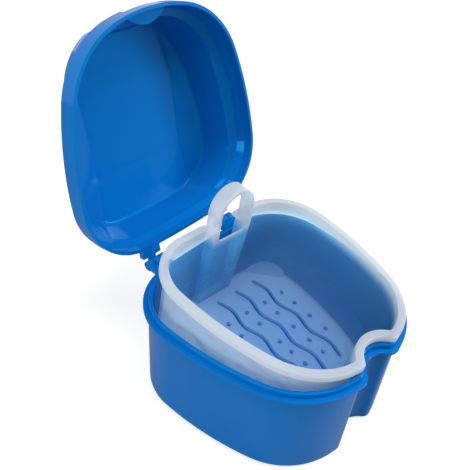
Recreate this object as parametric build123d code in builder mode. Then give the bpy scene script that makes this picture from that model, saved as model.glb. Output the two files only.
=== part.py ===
from build123d import *
import os
from math import cos, isclose, radians, sin, sqrt, tan

os.makedirs("parts", exist_ok=True)

# A hinged denture case: a tub, a lid on two pinned lug pairs, and a loose strainer
# basket with a loop handle. Millimetres. Z is up, the thumb notch faces -Y, the hinge
# is at +Y. The lid and the basket are drawn shut and seated, then moved to how they rest.

# Plan outline, one half: five arcs that run into each other from back to front.
BACK_Y = 35.4
BACK_RADIUS = 400.0
BACK_ANGLE = 2.8
CORNER_RADIUS = 23.2
CORNER_ANGLE = 87.2
SIDE_RADIUS = 122.0
SIDE_ANGLE = 17.0
SHOULDER_RADIUS = 30.5
SHOULDER_ANGLE = 59.3
FRONT_ANGLE = 180.0 - BACK_ANGLE - CORNER_ANGLE - SIDE_ANGLE - SHOULDER_ANGLE

# Thumb notch, a round bite out of the front, centred a little outside the outline.
NOTCH_RADIUS = 7.2
NOTCH_OUT = 1.444
LOBE_RADIUS = 5.0
LEAST_RADIUS = 2.5

# Tub.
TUB_HEIGHT = 42.0
NECK_RISE = 1.9
LEDGE_THICK = 1.1
WALL_INSET = 1.7
WALL_DRAFT = 0.4
NECK_INSET = 1.8
MOUTH_INSET = 3.25
TUB_FLOOR = 2.2
TUB_FOOT_ROUND = 3.0
TUB_COVE = 2.0
RIM_ROUND = 0.4
CUT_OVER = 1.0

# Lid: a lip band, a collar, a ledge, then walls that lean in to a roof of flat facets.
LID_GAP = 0.3
LID_INSET = 0.3
LIP_WIDTH = 1.2
LID_WALL = 1.6
BAND_HEIGHT = 4.0
COLLAR_INSET = 0.7
COLLAR_HEIGHT = 7.1
SKIRT_DEPTH = 3.6
RING_DEPTH = 6.6
RING_INSET = 2.8
FOOT_HEIGHT = 9.6
FOOT_INSETS = (5.0, 3.6, 1.2)
LID_HEIGHT = 23.1
CROWN_INSETS = (12.3, 6.0, 1.9)
FRONT_FACET_INSET = 8.6
FLAT_HALF_WIDTH = 20.0
FACET_ANGLE = 19.3
RIDGE_Y = 12.3
RIDGE_FRONT_ANGLE = 0.5
RIDGE_REAR_ANGLE = 2.2
LID_NOTCH_RADIUS = 9.4
LID_NOTCH_OUT = 4.64
LID_NOTCH_START = 1.2
ROOF_ROUND = 2.2
ROOF_COVE = 1.4
STEEPEST_ROOF = 30.0

# Hinge: two lug pairs, each a lid knuckle turning between two tub knuckles on a pin.
HINGE_OUT = 4.7
HINGE_DROP = 1.2
OPEN_ANGLE = 103.5
LUG_X = 18.0
LUG_WIDTH = 8.0
LID_KNUCKLE_WIDTH = 3.0
TUB_KNUCKLE_WIDTH = 2.2
KNUCKLE_RADIUS = 1.9
PIN_RADIUS = 0.9
PIN_PLAY = 0.05
PIN_GRIP = 0.01
PIN_CHAMFER = 0.2
PLATE_THICK = 2.2
PLATE_DROP = 1.2
PLATE_GAP = 0.35
BLEND_ANGLE = 58.0

# Strainer basket: its rim sits on the tub's, and its play lets it sit a little off centre.
SEAT_GAP = 0.3
SEAT_PLAY = (-0.77, -0.47, 0)
BASKET_INSET = 3.0
BASKET_RIM = 2.2
BASKET_WALL_INSET = 4.9
BASKET_DRAFT = 1.5
BASKET_WALL = 1.0
BASKET_LIFT = 6.2
BASKET_FLOOR = 1.4
BASKET_ROUND = 2.2
BASKET_COVE = 1.0
BASKET_RIM_ROUND = 0.5
GUSSET_REACH = 33.8
GUSSET_ANGLE = 50.2
GUSSET_WIDTH = 12.0

# Drain slots and holes. Hole rows are mirrored, and a row's place is in slot pitches.
SLOT_COUNT = 5
SLOT_PITCH = 10.2
SLOT_WIDTH = 1.7
SLOT_REAR_IN = 14.6
SLOT_FRONT_IN = 21.36
WAVE_HEIGHT = 0.97
WAVE_LENGTH = 16.8
WAVE_START_Y = -6.0
WAVE_STEPS = 16
HOLE_DIAMETER = 2.0
HOLE_ROWS = {
    0.5: (10.8, 3.9, -6.7, -12.7, -19.4),
    1.5: (10.3, 3.4, -5.1, -13.2, -20.1),
    2.5: (10.0, 3.0, -5.2, -13.4),
}

# Loop handle: a band arched above the rim, with ribs and a panel down the back wall.
HANDLE_X = 1.0
HANDLE_WIDTH = 18.0
HANDLE_DEPTH = 5.2
HANDLE_DRAFT = 0.8
HANDLE_BAND = 1.4
HANDLE_RISE = 16.2
HANDLE_LEAN = 1.4
HANDLE_BITE = 0.4
PANEL_THICK = 1.0
PANEL_DROP = 3.2
WINDOW_ROUND = 3.0

# At rest the basket leans on the tub's front corner, turned about this line.
TIP_ANGLE = 7.97
TIP_X = 24.79
TIP_IN = 9.816
TIP_DROP = 11.51
TIP_AXIS = (0.7692, 0.6027, -0.2123)


def plan(inset, z, notched=False):
    """The plan outline as a flat face at height z, drawn in from the outside by inset."""
    with BuildSketch(Plane.XY.offset(z)) as outline:
        with BuildLine():
            back = JernArc((0, BACK_Y - inset), (1, 0), BACK_RADIUS - inset, -BACK_ANGLE)
            corner = JernArc(back @ 1, back % 1, CORNER_RADIUS - inset, -CORNER_ANGLE)
            side = JernArc(corner @ 1, corner % 1, SIDE_RADIUS - inset, -SIDE_ANGLE)
            shoulder = JernArc(side @ 1, side % 1, SHOULDER_RADIUS - inset, -SHOULDER_ANGLE)
            front_radius = (shoulder @ 1).X / sin(radians(FRONT_ANGLE))
            JernArc(shoulder @ 1, shoulder % 1, front_radius, -FRONT_ANGLE)
            mirror(about=Plane.YZ)
        make_face()
        if notched:
            bite = NOTCH_RADIUS + inset
            with Locations((0, FRONT_Y - NOTCH_OUT)):
                Circle(bite, mode=Mode.SUBTRACT)
            centre = Vector(0, FRONT_Y - NOTCH_OUT)
            lobes = [v for v in outline.vertices() if isclose((Vector(v.X, v.Y) - centre).length, bite)]
            fillet(lobes, radius=max(LOBE_RADIUS - inset, LEAST_RADIUS))
    return outline.sketch


def pocket(top, bottom, depth_z, top_z, round_radius):
    """A drafted hollow from top_z down to depth_z, rounded round its floor."""
    with BuildPart() as hollow:
        loft([plan(bottom, depth_z, True), plan(top, top_z, True)], ruled=True)
        fillet(hollow.faces().sort_by(Axis.Z)[0].edges(), radius=round_radius)
    return hollow.part


FRONT_Y = plan(0, 0).bounding_box().min.Y
HALF_WIDTH = plan(0, 0).bounding_box().max.X
LEDGE_TOP = TUB_HEIGHT - NECK_RISE
HINGE_Y = BACK_Y + HINGE_OUT
HINGE_Z = LEDGE_TOP - HINGE_DROP
PLATE_END_Y = HINGE_Y - KNUCKLE_RADIUS - PLATE_GAP


# ---- Tub ----
with BuildPart() as tub:
    loft(
        [plan(WALL_INSET + WALL_DRAFT, 0, True), plan(WALL_INSET, LEDGE_TOP - LEDGE_THICK, True)],
        ruled=True,
    )
    fillet(tub.faces().sort_by(Axis.Z)[0].edges(), radius=TUB_FOOT_ROUND)
    extrude(plan(0, LEDGE_TOP - LEDGE_THICK, True), amount=LEDGE_THICK)
    extrude(plan(NECK_INSET, LEDGE_TOP, True), amount=NECK_RISE)
    fillet(tub.faces().sort_by(Axis.Z)[-1].edges(), radius=RIM_ROUND)
    add(
        pocket(MOUTH_INSET, MOUTH_INSET + WALL_DRAFT, TUB_FLOOR, TUB_HEIGHT + CUT_OVER, TUB_COVE),
        mode=Mode.SUBTRACT,
    )
    mouth = tub.faces().sort_by(Axis.Z)[-1].inner_wires()[0]
    fillet(mouth.edges(), radius=RIM_ROUND)

    # Lug plates run back from the wall under the ledge, and each carries two knuckles.
    for lug_x in (-LUG_X, LUG_X):
        with BuildSketch(Plane.YZ.offset(lug_x - LUG_WIDTH / 2)) as plate:
            with Locations((BACK_Y - WALL_INSET, HINGE_Z - PLATE_DROP)):
                Rectangle(PLATE_END_Y - BACK_Y + WALL_INSET, PLATE_THICK, align=(Align.MIN, Align.MIN))
        extrude(plate.sketch, amount=LUG_WIDTH)
        for knuckle_x in (lug_x - LUG_WIDTH / 2, lug_x + LUG_WIDTH / 2 - TUB_KNUCKLE_WIDTH):
            with BuildSketch(Plane.YZ.offset(knuckle_x)) as knuckle:
                with Locations((HINGE_Y, HINGE_Z)):
                    Circle(KNUCKLE_RADIUS)
                with Locations((BACK_Y, HINGE_Z - PLATE_DROP)):
                    Rectangle(HINGE_Y - BACK_Y, PLATE_THICK, align=(Align.MIN, Align.MIN))
            extrude(knuckle.sketch, amount=TUB_KNUCKLE_WIDTH)
        with BuildSketch(Plane.YZ.offset(lug_x - LUG_WIDTH / 2)) as bore:
            with Locations((HINGE_Y, HINGE_Z)):
                Circle(PIN_RADIUS + PIN_GRIP)
        extrude(bore.sketch, amount=LUG_WIDTH, mode=Mode.SUBTRACT)
tub.part.label = "tub"
export_step(tub.part, "parts/tub.step")


# ---- Hinge pins ----
for pin_name, pin_x in (("hinge_pin_left", -LUG_X), ("hinge_pin_right", LUG_X)):
    with BuildPart() as pin:
        with BuildSketch(Plane.YZ.offset(pin_x - LUG_WIDTH / 2)):
            with Locations((HINGE_Y, HINGE_Z)):
                Circle(PIN_RADIUS)
        extrude(amount=LUG_WIDTH)
        chamfer(pin.edges(), length=PIN_CHAMFER)
    pin.part.label = pin_name
    export_step(pin.part, f"parts/{pin_name}.step")


# ---- Lid ----
LID_BASE = LEDGE_TOP + LID_GAP
LID_TOP = LID_BASE + LID_HEIGHT
FOOT_Z = LID_BASE + FOOT_HEIGHT
COLLAR_TOP = LID_BASE + COLLAR_HEIGHT
SHELF_Z = LID_BASE + BAND_HEIGHT + LID_NOTCH_START
LIP_INSET = LID_INSET + LIP_WIDTH


def tapered(insets, z, thick):
    """The plan outline drawn in by its own inset at the sides, the front and the back."""
    side, front, back = [inset + thick for inset in insets]
    inset = (front + back) / 2
    narrow = (HALF_WIDTH - side) / (HALF_WIDTH - inset)
    return Pos(0, front - inset, 0) * scale(plan(inset, z), by=(narrow, 1, 1))


def dome(thick, edge_round):
    """The walls and roof above the ledge as a solid, drawn in from the outside by thick."""
    top = LID_TOP - thick
    side_drop = (HALF_WIDTH - FLAT_HALF_WIDTH) * tan(radians(FACET_ANGLE))
    front_drop = (RIDGE_Y - FRONT_Y) * tan(radians(RIDGE_FRONT_ANGLE))
    rear_drop = (BACK_Y - RIDGE_Y) * tan(radians(RIDGE_REAR_ANGLE))
    facet_foot = FRONT_Y + FOOT_INSETS[1] + thick
    facet_top = FRONT_Y + FRONT_FACET_INSET + thick
    with BuildPart() as shape:
        foot = tapered(FOOT_INSETS, FOOT_Z - thick, thick)
        crown = tapered(CROWN_INSETS, LID_TOP, thick)
        loft([foot, crown], ruled=True)
        with BuildSketch(Plane.XZ) as across:
            with BuildLine():
                Polyline(
                    (0, LID_BASE),
                    (HALF_WIDTH, LID_BASE),
                    (HALF_WIDTH, top - side_drop),
                    (FLAT_HALF_WIDTH, top),
                    (0, top),
                    close=True,
                )
            make_face()
            mirror(about=Plane.YZ)
        extrude(across.sketch, amount=HALF_WIDTH + LID_HEIGHT, both=True, mode=Mode.INTERSECT)
        with BuildSketch(Plane.YZ) as along:
            with BuildLine():
                Polyline(
                    (facet_foot, LID_BASE),
                    (facet_foot, FOOT_Z - thick),
                    (facet_top, top - front_drop),
                    (RIDGE_Y, top),
                    (BACK_Y, top - rear_drop),
                    (BACK_Y, LID_BASE),
                    close=True,
                )
            make_face()
        extrude(along.sketch, amount=HALF_WIDTH, both=True, mode=Mode.INTERSECT)
        facets = shape.faces().filter_by(lambda face: face.normal_at().Z > cos(radians(STEEPEST_ROOF)))
        walls = shape.faces().filter_by(lambda face: abs(face.normal_at().Z) < cos(radians(STEEPEST_ROOF)))
        fillet(facets.edges() & walls.edges(), radius=edge_round)
    return shape.part


with BuildPart() as lid_hollow:
    loft(
        [plan(LIP_INSET, LID_BASE + SKIRT_DEPTH), plan(RING_INSET, LID_BASE + RING_DEPTH)],
        ruled=True,
    )
    loft(
        [plan(RING_INSET, LID_BASE + RING_DEPTH), tapered(FOOT_INSETS, FOOT_Z - LID_WALL, LID_WALL)],
        ruled=True,
    )
    add(dome(LID_WALL, ROOF_COVE))
    with BuildSketch(Plane.XY.offset(LID_BASE)) as bump:
        with Locations((0, FRONT_Y - LID_NOTCH_OUT)):
            Circle(LID_NOTCH_RADIUS + LID_WALL)
    extrude(bump.sketch, amount=LID_HEIGHT, mode=Mode.SUBTRACT)

with BuildPart() as closed_lid:
    extrude(plan(LID_INSET, LID_BASE), amount=BAND_HEIGHT)
    extrude(plan(COLLAR_INSET, LID_BASE), amount=COLLAR_HEIGHT)
    loft([plan(COLLAR_INSET, COLLAR_TOP), tapered(FOOT_INSETS, FOOT_Z, 0)], ruled=True)
    add(dome(0, ROOF_ROUND))
    with BuildSketch(Plane.XY.offset(SHELF_Z)) as bite:
        with Locations((0, FRONT_Y - LID_NOTCH_OUT)):
            Circle(LID_NOTCH_RADIUS)
    extrude(bite.sketch, amount=LID_HEIGHT, mode=Mode.SUBTRACT)
    add(lid_hollow.part, mode=Mode.SUBTRACT)
    extrude(plan(LIP_INSET, LID_BASE), amount=SKIRT_DEPTH, mode=Mode.SUBTRACT)

    # Lug plates run back from the band and narrow to one knuckle between the tub's two.
    for lug_x in (-LUG_X, LUG_X):
        with BuildSketch(Plane.YZ.offset(lug_x - LUG_WIDTH / 2)) as plate:
            with Locations((BACK_Y - LIP_INSET, LID_BASE)):
                Rectangle(PLATE_END_Y - BACK_Y + LIP_INSET, PLATE_THICK, align=(Align.MIN, Align.MIN))
        extrude(plate.sketch, amount=LUG_WIDTH)
        with BuildSketch(Plane.YZ.offset(lug_x - LID_KNUCKLE_WIDTH / 2)) as knuckle:
            with Locations((HINGE_Y, HINGE_Z)):
                Circle(KNUCKLE_RADIUS)
            blend = radians(BLEND_ANGLE)
            with BuildLine():
                Polyline(
                    (BACK_Y, LID_BASE),
                    (BACK_Y, LID_BASE + PLATE_THICK),
                    (PLATE_END_Y, LID_BASE + PLATE_THICK),
                    (HINGE_Y + KNUCKLE_RADIUS * cos(blend), HINGE_Z + KNUCKLE_RADIUS * sin(blend)),
                    (HINGE_Y, HINGE_Z),
                    (HINGE_Y - sqrt(KNUCKLE_RADIUS**2 - (LID_BASE - HINGE_Z) ** 2), LID_BASE),
                    close=True,
                )
            make_face()
        extrude(knuckle.sketch, amount=LID_KNUCKLE_WIDTH)
        with BuildSketch(Plane.YZ.offset(lug_x - LUG_WIDTH / 2)) as bore:
            with Locations((HINGE_Y, HINGE_Z)):
                Circle(PIN_RADIUS + PIN_PLAY)
        extrude(bore.sketch, amount=LUG_WIDTH, mode=Mode.SUBTRACT)

with BuildPart() as lid:
    add(closed_lid.part.rotate(Axis((0, HINGE_Y, HINGE_Z), (1, 0, 0)), -OPEN_ANGLE))
lid.part.label = "lid"
export_step(lid.part, "parts/lid.step")


# ---- Strainer basket ----
BASKET_TOP = TUB_HEIGHT + SEAT_GAP + BASKET_RIM
BASKET_INSIDE = BASKET_WALL_INSET + BASKET_WALL
FLOOR_BASE = TUB_FLOOR + BASKET_LIFT
FLOOR_TOP = FLOOR_BASE + BASKET_FLOOR
LEG_BACK = BACK_Y - BASKET_INSIDE + HANDLE_BITE
LEG_FRONT = BACK_Y - BASKET_INSIDE - HANDLE_DEPTH

with BuildPart() as basket_hollow:
    add(pocket(BASKET_INSIDE, BASKET_INSIDE + BASKET_DRAFT, FLOOR_TOP, BASKET_TOP, BASKET_COVE))
    # A sloping gusset fills each back corner of the floor.
    for side in (-1, 1):
        corner_plane = Plane(origin=(0, 0, 0), x_dir=(side, 1, 0), z_dir=(1, -side, 0))
        with BuildSketch(corner_plane) as gusset:
            with BuildLine():
                Polyline(
                    (GUSSET_REACH, FLOOR_TOP),
                    (GUSSET_REACH + GUSSET_WIDTH, FLOOR_TOP),
                    (GUSSET_REACH + GUSSET_WIDTH, FLOOR_TOP + GUSSET_WIDTH * tan(radians(GUSSET_ANGLE))),
                    close=True,
                )
            make_face()
        extrude(gusset.sketch, amount=GUSSET_WIDTH, both=True, mode=Mode.SUBTRACT)

with BuildPart() as handle:
    with BuildSketch(Plane.YZ) as leg_side:
        with BuildLine():
            Polyline(
                (LEG_BACK + HANDLE_LEAN, BASKET_TOP + HANDLE_RISE),
                (LEG_BACK, BASKET_TOP),
                (LEG_BACK - BASKET_DRAFT, FLOOR_TOP),
                (LEG_FRONT + HANDLE_DRAFT, FLOOR_TOP),
                (LEG_FRONT, BASKET_TOP),
                (LEG_FRONT + HANDLE_LEAN, BASKET_TOP + HANDLE_RISE),
                close=True,
            )
        make_face()
    extrude(leg_side.sketch, amount=HANDLE_WIDTH, both=True)
    with BuildSketch(Plane.XZ) as arch:
        with Locations((HANDLE_X, BASKET_TOP + HANDLE_RISE - HANDLE_WIDTH / 2)):
            Circle(HANDLE_WIDTH / 2)
            Rectangle(HANDLE_WIDTH, BASKET_TOP, align=(Align.CENTER, Align.MAX))
    extrude(arch.sketch, amount=BACK_Y, both=True, mode=Mode.INTERSECT)

with BuildPart() as seated_basket:
    loft(
        [
            plan(BASKET_WALL_INSET + BASKET_DRAFT, FLOOR_BASE, True),
            plan(BASKET_WALL_INSET, BASKET_TOP - BASKET_RIM, True),
        ],
        ruled=True,
    )
    fillet(seated_basket.faces().sort_by(Axis.Z)[0].edges(), radius=BASKET_ROUND)
    extrude(plan(BASKET_INSET, BASKET_TOP - BASKET_RIM, True), amount=BASKET_RIM)
    fillet(seated_basket.faces().sort_by(Axis.Z)[-1].edges(), radius=BASKET_RIM_ROUND)
    add(basket_hollow.part, mode=Mode.SUBTRACT)

    # The handle is a thin arched band. Its legs run down inside the wall as two ribs with a
    # panel across their fronts, and between the ribs the wall behind the panel is left out.
    add(handle.part)
    window_width = HANDLE_WIDTH - HANDLE_BAND * 2
    window_top = BASKET_TOP + HANDLE_RISE - HANDLE_WIDTH / 2
    with BuildSketch(Plane.XZ) as window:
        with Locations((HANDLE_X, BASKET_TOP - PANEL_DROP)):
            Rectangle(window_width, window_top - BASKET_TOP + PANEL_DROP, align=(Align.CENTER, Align.MIN))
        fillet(window.vertices().group_by(Axis.Z)[0], radius=WINDOW_ROUND)
        with Locations((HANDLE_X, window_top)):
            Circle(window_width / 2)
    extrude(window.sketch, amount=-BACK_Y, mode=Mode.SUBTRACT)
    with BuildSketch(Plane.YZ.offset(HANDLE_X)) as channel:
        with BuildLine():
            Polyline(
                (LEG_FRONT + HANDLE_DRAFT + PANEL_THICK, FLOOR_TOP),
                (LEG_FRONT + PANEL_THICK, BASKET_TOP),
                (BACK_Y, BASKET_TOP),
                (BACK_Y, FLOOR_TOP),
                close=True,
            )
        make_face()
    extrude(channel.sketch, amount=window_width / 2, both=True, mode=Mode.SUBTRACT)

    with BuildSketch(Plane.XY.offset(FLOOR_BASE)) as drains:
        slot_rear_y = BACK_Y - SLOT_REAR_IN
        slot_front_y = FRONT_Y + SLOT_FRONT_IN
        for count in range(SLOT_COUNT):
            slot_x = (count - (SLOT_COUNT - 1) / 2) * SLOT_PITCH
            wave = []
            for step in range(WAVE_STEPS + 1):
                y = slot_rear_y + (slot_front_y - slot_rear_y) * step / WAVE_STEPS
                turn = radians(360 * (y - WAVE_START_Y) / WAVE_LENGTH)
                wave.append((slot_x + WAVE_HEIGHT * sin(turn), y))
            with BuildLine():
                Spline(wave)
            trace(line_width=SLOT_WIDTH)
            with Locations(wave[0], wave[-1]):
                Circle(SLOT_WIDTH / 2)
        for row, hole_ys in HOLE_ROWS.items():
            row_x = row * SLOT_PITCH
            with Locations([(x, y) for x in (-row_x, row_x) for y in hole_ys]):
                Circle(HOLE_DIAMETER / 2)
    extrude(drains.sketch, amount=BASKET_FLOOR, mode=Mode.SUBTRACT)

with BuildPart() as strainer_basket:
    tip_line = Axis((TIP_X, FRONT_Y + TIP_IN, TUB_HEIGHT - TIP_DROP), TIP_AXIS)
    add(seated_basket.part.translate(SEAT_PLAY).rotate(tip_line, TIP_ANGLE))
strainer_basket.part.label = "strainer_basket"
export_step(strainer_basket.part, "parts/strainer_basket.step")
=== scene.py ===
import bpy
from mathutils import Matrix, Vector

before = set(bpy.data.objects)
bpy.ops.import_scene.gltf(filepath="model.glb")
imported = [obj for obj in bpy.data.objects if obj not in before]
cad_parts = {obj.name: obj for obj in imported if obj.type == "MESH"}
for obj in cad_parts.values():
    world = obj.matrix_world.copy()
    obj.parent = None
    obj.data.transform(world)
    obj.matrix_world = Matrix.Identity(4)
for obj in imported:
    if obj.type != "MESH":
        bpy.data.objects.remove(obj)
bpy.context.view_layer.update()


# Camera: looks down on the open box from its left front corner, a little tilted.
# It stands where the box fills the frame, with the lid's dome at the top left.
LENS = 48.07
SENSOR_WIDTH = 36.0
NEAR_CLIP = 0.01
CAMERA_PLACE = (-0.132411, -0.086750, 0.194500)
CAMERA_RIGHT = Vector((0.671136, -0.737291, 0.077315))
CAMERA_UP = Vector((0.432490, 0.474107, 0.766926))
CAMERA_BACK = Vector((-0.602103, -0.481273, 0.637062))

camera_data = bpy.data.cameras.new("camera")
camera_data.lens = LENS
camera_data.sensor_width = SENSOR_WIDTH
camera_data.clip_start = NEAR_CLIP
camera = bpy.data.objects.new("camera", camera_data)
camera_turn = Matrix((CAMERA_RIGHT, CAMERA_UP, CAMERA_BACK)).transposed().to_4x4()
camera.matrix_world = Matrix.Translation(CAMERA_PLACE) @ camera_turn
bpy.context.scene.collection.objects.link(camera)
bpy.context.scene.camera = camera


# Tub, lid and hinge pins: injection moulded polypropylene in one glossy blue.
# The moulds are polished, so the skin is smooth with only a faint flow ripple,
# and the pigment clouds very slightly between two close blues.
BLUE = (0.001, 0.150, 0.480, 1.0)
BLUE_DEEP = (0.001, 0.120, 0.430, 1.0)
CLOUD_SCALE = 28.0
CLOUD_DETAIL = 2.0
RIPPLE_SCALE = 90.0
RIPPLE_DETAIL = 1.0
RIPPLE_STRENGTH = 0.04
RIPPLE_DEPTH = 0.0006
BLUE_ROUGHNESS = 0.07
BLUE_IOR = 1.40
BLUE_GLOSS = 0.40
BLUE_GLOSS_TINT = (0.02, 0.60, 1.0, 1.0)


def new_material(name):
    """A material with its node tree and its Principled shader."""
    material = bpy.data.materials.new(name)
    material.use_nodes = True
    return material, material.node_tree, material.node_tree.nodes["Principled BSDF"]


def feed(tree, value, socket):
    """Give an input its value: a link from another socket, or a plain number or colour."""
    if isinstance(value, bpy.types.NodeSocket):
        tree.links.new(value, socket)
    else:
        socket.default_value = value


def noise(tree, place, scale, detail):
    """A soft random cloud over the coordinates in place."""
    node = tree.nodes.new("ShaderNodeTexNoise")
    node.inputs["Scale"].default_value = scale
    node.inputs["Detail"].default_value = detail
    tree.links.new(place, node.inputs["Vector"])
    return node.outputs["Fac"]


def blend(tree, share, low, high):
    """The colour that runs from low to high as share runs from 0 to 1."""
    node = tree.nodes.new("ShaderNodeMix")
    node.data_type = "RGBA"
    feed(tree, share, node.inputs["Factor"])
    feed(tree, low, node.inputs["A"])
    feed(tree, high, node.inputs["B"])
    return node.outputs["Result"]


def wear(node_name, material):
    """Give a CAD node that one material."""
    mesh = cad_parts[node_name].data
    mesh.materials.clear()
    mesh.materials.append(material)


blue, tree, shader = new_material("blue_polypropylene")
place = tree.nodes.new("ShaderNodeTexCoord").outputs["Object"]
cloud = noise(tree, place, CLOUD_SCALE, CLOUD_DETAIL)
tree.links.new(blend(tree, cloud, BLUE_DEEP, BLUE), shader.inputs["Base Color"])
skin = tree.nodes.new("ShaderNodeBump")
skin.inputs["Strength"].default_value = RIPPLE_STRENGTH
skin.inputs["Distance"].default_value = RIPPLE_DEPTH
tree.links.new(noise(tree, place, RIPPLE_SCALE, RIPPLE_DETAIL), skin.inputs["Height"])
tree.links.new(skin.outputs["Normal"], shader.inputs["Normal"])
shader.inputs["Roughness"].default_value = BLUE_ROUGHNESS
shader.inputs["IOR"].default_value = BLUE_IOR
shader.inputs["Specular IOR Level"].default_value = BLUE_GLOSS
shader.inputs["Specular Tint"].default_value = BLUE_GLOSS_TINT

for node_name in ("tub", "lid", "hinge_pin_left", "hinge_pin_right"):
    wear(node_name, blue)


# Strainer basket: polypropylene left natural, moulded in one piece with its loop handle.
# Its thin walls let the tub's blue through. It turns milkier toward the thick rim.
# Toward the floor it turns milkier and bluer. This is partly the thicker floor and partly
# painted light and a painted tub blue.
# The outer side is painted paler and milkier, as painted light from the lamps outside.
# The inner side carries a painted blue that stands for the tub seen through it.
RIM_FROST = (0.70, 0.73, 0.76, 1.0)
# Painted: the inner side's tint is a painted blue that stands for the tub seen through the
# wall.
INNER_PAINTED_TUB_BLUE = (0.24, 0.68, 1.0, 1.0)
# Painted light: the outer side's tint is painted paler, as if lit by the lamps outside.
OUTER_PAINTED_LIGHT_FROST = (0.60, 0.66, 0.71, 1.0)
# Painted light and show-through: near the floor the tint is a painted blue haze, standing
# for the top light on the floor and the tub's floor under it.
FLOOR_PAINTED_BLUE_HAZE = (0.40, 0.67, 0.94, 1.0)
CLEAR_TINT = (0.90, 0.98, 1.0, 1.0)

# Heights are measured square to the rim, which is tipped at rest.
RIM_NORMAL = (0.0820, -0.1079, 0.9908)
RIM_UNDERSIDE = 0.0480
CLEAR_ENDS_BELOW = 0.0050
CLEAR_ENDS_ABOVE = 0.0008
TINT_STARTS_BELOW = 0.0040
TINT_ENDS_ABOVE = 0.0006
FLOOR_LEVEL = 0.0165
FLOOR_TINT_DEPTH = 0.004
# The lower walls turn milkier. This is partly the thicker floor and partly painted light
# that lightens the lower walls.
FLOOR_MILK_AND_PAINTED_LIGHT_DEPTH = 0.018

WALL_CLEARNESS = 0.74
RIM_CLEARNESS = 0.36
FLOOR_CLEARNESS_AND_PAINTED_LIGHT = 0.78
# Painted light: the outer side is made milkier so that it reads as lit from outside.
OUTER_PAINTED_LIGHT_MILK = 0.18
OUTWARD_LEAST = 0.015
MIST_SCALE = 40.0
MIST_DETAIL = 3.0
MIST_AMOUNT = 0.05
MILK_TRANSLUCENCY = 0.44
FROST_ROUGHNESS = 0.35
FROST_IOR = 1.49
FROST_GLOSS = 0.3


def dot(tree, first, second):
    """The dot product of two vectors."""
    node = tree.nodes.new("ShaderNodeVectorMath")
    node.operation = "DOT_PRODUCT"
    feed(tree, first, node.inputs[0])
    feed(tree, second, node.inputs[1])
    return node.outputs["Value"]


def ramp(tree, value, start, end, low=0.0, high=1.0, curve="SMOOTHSTEP"):
    """Runs from low to high as value runs from start to end, and stays level outside."""
    node = tree.nodes.new("ShaderNodeMapRange")
    node.interpolation_type = curve
    node.inputs["From Min"].default_value = start
    node.inputs["From Max"].default_value = end
    node.inputs["To Min"].default_value = low
    node.inputs["To Max"].default_value = high
    tree.links.new(value, node.inputs["Value"])
    return node.outputs["Result"]


def arithmetic(tree, operation, *values):
    """One Math node's result, from sockets or plain numbers."""
    node = tree.nodes.new("ShaderNodeMath")
    node.operation = operation
    for index, value in enumerate(values):
        feed(tree, value, node.inputs[index])
    return node.outputs["Value"]


def mix_shaders(tree, share, first, second):
    """One shader that turns from first to second as share runs from 0 to 1."""
    node = tree.nodes.new("ShaderNodeMixShader")
    feed(tree, share, node.inputs["Fac"])
    tree.links.new(first, node.inputs[1])
    tree.links.new(second, node.inputs[2])
    return node.outputs["Shader"]


frosted, tree, shader = new_material("frosted_polypropylene")
coordinates = tree.nodes.new("ShaderNodeTexCoord")
place = coordinates.outputs["Object"]
height = dot(tree, place, RIM_NORMAL)
outward = dot(tree, place, coordinates.outputs["Normal"])
# The outer side gets painted light, and the inner side gets a painted tub blue.
outer_side_painted_lit = arithmetic(tree, "GREATER_THAN", outward, OUTWARD_LEAST)

painted_side_tint = blend(tree, outer_side_painted_lit, INNER_PAINTED_TUB_BLUE, OUTER_PAINTED_LIGHT_FROST)
above_floor = ramp(
    tree, height, FLOOR_LEVEL, FLOOR_LEVEL + FLOOR_TINT_DEPTH, curve="LINEAR"
)
# The floor band takes the painted blue haze.
wall_tint = blend(tree, above_floor, FLOOR_PAINTED_BLUE_HAZE, painted_side_tint)
rim_share = ramp(
    tree, height, RIM_UNDERSIDE - TINT_STARTS_BELOW, RIM_UNDERSIDE + TINT_ENDS_ABOVE
)
frost_tint = blend(tree, rim_share, wall_tint, RIM_FROST)

rim_clearness = ramp(
    tree, height,
    RIM_UNDERSIDE - CLEAR_ENDS_BELOW, RIM_UNDERSIDE + CLEAR_ENDS_ABOVE,
    WALL_CLEARNESS, RIM_CLEARNESS,
)
# The lower walls turn milkier. This is partly the thicker floor and partly painted light.
lower_wall_milk_and_painted_light = ramp(
    tree, height, FLOOR_LEVEL, FLOOR_LEVEL + FLOOR_MILK_AND_PAINTED_LIGHT_DEPTH, FLOOR_CLEARNESS_AND_PAINTED_LIGHT
)
# Painted light: the outer side loses clearness, so it reads paler and lit.
painted_side_clearness = arithmetic(tree, "MULTIPLY_ADD", outer_side_painted_lit, -OUTER_PAINTED_LIGHT_MILK, 1.0)
both_shares = arithmetic(tree, "MULTIPLY", lower_wall_milk_and_painted_light, painted_side_clearness)
walls_clear = arithmetic(tree, "MULTIPLY", rim_clearness, both_shares)
mist = noise(tree, place, MIST_SCALE, MIST_DETAIL)
thin = ramp(tree, mist, 0.0, 1.0, -MIST_AMOUNT, MIST_AMOUNT, curve="LINEAR")
clearness = arithmetic(tree, "ADD", walls_clear, thin)

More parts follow.
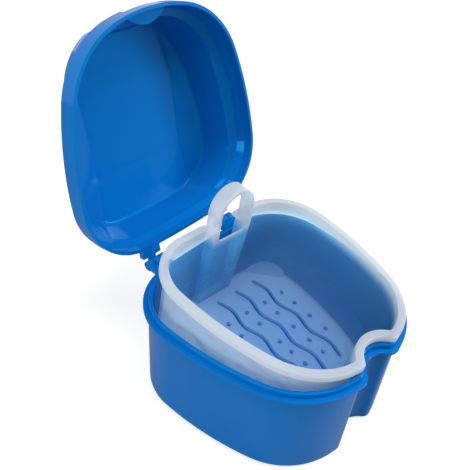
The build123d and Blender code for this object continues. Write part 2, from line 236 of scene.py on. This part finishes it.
tree.links.new(frost_tint, shader.inputs["Base Color"])
shader.inputs["Roughness"].default_value = FROST_ROUGHNESS
shader.inputs["IOR"].default_value = FROST_IOR
shader.inputs["Specular IOR Level"].default_value = FROST_GLOSS
clear = tree.nodes.new("ShaderNodeBsdfTransparent")
clear.inputs["Color"].default_value = CLEAR_TINT
through = tree.nodes.new("ShaderNodeBsdfTranslucent")
tree.links.new(frost_tint, through.inputs["Color"])
milky = mix_shaders(
    tree, MILK_TRANSLUCENCY, shader.outputs["BSDF"], through.outputs["BSDF"]
)
haze = mix_shaders(tree, clearness, milky, clear.outputs["BSDF"])
tree.links.new(haze, tree.nodes["Material Output"].inputs["Surface"])

wear("strainer_basket", frosted)


# Studio: a white sheet under the box and white all round, with a soft lamp on each
# side and one above. The sheet stays white to the eye and still takes the box's shadow.
WHITE = (1.0, 1.0, 1.0, 1.0)
SHEET_SIZE = 1.6
SHEET_DROP = 0.0002
SHEET_GREY = (0.40, 0.40, 0.40, 1.0)
SHEET_ROUGHNESS = 0.9
SHEET_GLOW = 0.74
FILL_STRENGTH = 0.28
BACKDROP_STRENGTH = 1.0

bpy.ops.object.select_all(action="DESELECT")
bpy.ops.mesh.primitive_plane_add(size=SHEET_SIZE, location=(0.0, 0.0, -SHEET_DROP))
floor = bpy.context.active_object
floor.name = "floor"
bpy.ops.object.transform_apply(location=True, rotation=False, scale=False)

paper, tree, shader = new_material("white_sheet")
shader.inputs["Base Color"].default_value = SHEET_GREY
shader.inputs["Roughness"].default_value = SHEET_ROUGHNESS
shader.inputs["Specular IOR Level"].default_value = 0.0
glow = tree.nodes.new("ShaderNodeEmission")
glow.inputs["Color"].default_value = WHITE
glow.inputs["Strength"].default_value = SHEET_GLOW
both = tree.nodes.new("ShaderNodeAddShader")
tree.links.new(shader.outputs["BSDF"], both.inputs[0])
tree.links.new(glow.outputs["Emission"], both.inputs[1])
rays = tree.nodes.new("ShaderNodeLightPath")
sheet = mix_shaders(
    tree, rays.outputs["Is Camera Ray"], shader.outputs["BSDF"], both.outputs["Shader"]
)
tree.links.new(sheet, tree.nodes["Material Output"].inputs["Surface"])
floor.data.materials.append(paper)

world = bpy.data.worlds.new("studio")
world.use_nodes = True
bpy.context.scene.world = world
tree = world.node_tree
fill = tree.nodes["Background"]
fill.inputs["Color"].default_value = WHITE
fill.inputs["Strength"].default_value = FILL_STRENGTH
backdrop = tree.nodes.new("ShaderNodeBackground")
backdrop.inputs["Color"].default_value = WHITE
backdrop.inputs["Strength"].default_value = BACKDROP_STRENGTH
rays = tree.nodes.new("ShaderNodeLightPath")
direct = arithmetic(
    tree, "MAXIMUM", rays.outputs["Is Camera Ray"], rays.outputs["Is Glossy Ray"]
)
seen = arithmetic(tree, "MAXIMUM", direct, rays.outputs["Is Transmission Ray"])
surround = mix_shaders(
    tree, seen, fill.outputs["Background"], backdrop.outputs["Background"]
)
tree.links.new(surround, tree.nodes["World Output"].inputs["Surface"])


def soft_box(name, width, height, place, aim, power):
    """An area lamp of that size, at place, turned to face aim."""
    data = bpy.data.lights.new(name, "AREA")
    data.shape = "RECTANGLE"
    data.size = width
    data.size_y = height
    data.energy = power
    lamp = bpy.data.objects.new(name, data)
    look = Vector(aim) - Vector(place)
    turn = look.to_track_quat("-Z", "Y").to_matrix().to_4x4()
    lamp.matrix_world = Matrix.Translation(place) @ turn
    bpy.context.scene.collection.objects.link(lamp)


soft_box("right_lamp", 0.30, 0.50, (0.70, -0.60, 0.38), (0.0, 0.02, 0.06), 7.0)
soft_box("left_lamp", 0.40, 0.30, (-0.85, 0.08, 0.15), (0.0, 0.0, 0.04), 4.0)
soft_box("top_lamp", 0.60, 0.60, (-0.05, -0.15, 0.90), (0.0, 0.0, 0.04), 6.8)

bpy.context.scene.view_settings.view_transform = "Standard"
